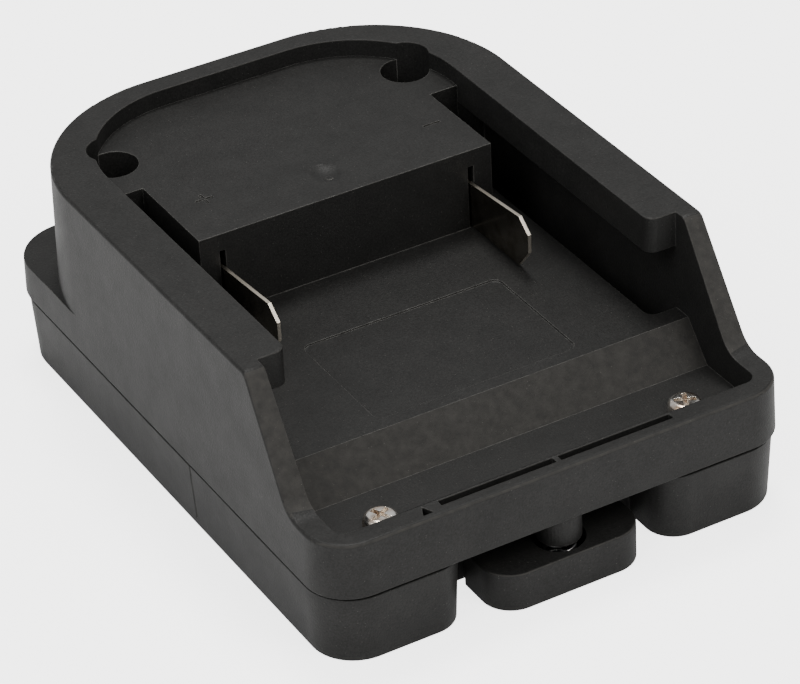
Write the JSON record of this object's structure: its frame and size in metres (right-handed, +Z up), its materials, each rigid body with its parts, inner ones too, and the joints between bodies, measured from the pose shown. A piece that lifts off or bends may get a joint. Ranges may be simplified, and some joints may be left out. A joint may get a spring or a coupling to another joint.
{
  "type": "tool battery adapter",
  "caption": "Battery adapter: a housing open at the front takes one maker's slide-in battery on top, and its underside slides on a cordless tool, held by a sprung latch button.",
  "frame": {"origin": "middle of the bottom of the whole object, front latch button included", "axes": "+Z up, out of the battery side; +Y from the latch button to the back wall, the way the battery slides in; +X to the right seen from the front"},
  "size_m": [0.0816, 0.1122, 0.0402],
  "materials": {
    "housing": "fine spark-eroded texture",
    "button": "fine spark-eroded texture",
    "inner_plastic": "moulded",
    "contact": "nickel plated, bright",
    "screw": "nickel plated",
    "spring": "drawn spring wire",
    "positive_wire": "satin insulation",
    "negative_wire": "satin insulation",
    "sleeve": "shrink sleeve"
  },
  "bodies": {
    "housing": {"upper_shell": "housing", "upper_shell_deck": "housing", "lower_shell": "housing", "blade_carrier": "inner_plastic", "carrier_screws": "screw", "positive_blade": "contact", "negative_blade": "contact", "positive_lead": "positive_wire", "negative_lead": "negative_wire", "positive_sleeve": "sleeve", "negative_sleeve": "sleeve", "terminal_block": "inner_plastic", "terminal_screws": "screw", "positive_clip": "contact", "negative_clip": "contact", "front_screws": "screw", "rear_screws": "screw"},
    "latch": {"latch_button": "button", "latch_spring": "spring"}
  },
  "joints": [
    {"name": "latch_press", "type": "slide", "parent": "housing", "child": "latch", "axis": [0, 0, 1], "range_m": [0, 0.0024], "stiffness_N_per_m": 1500, "springref_m": -0.002, "deforming": ["latch_spring"]}
  ]
}
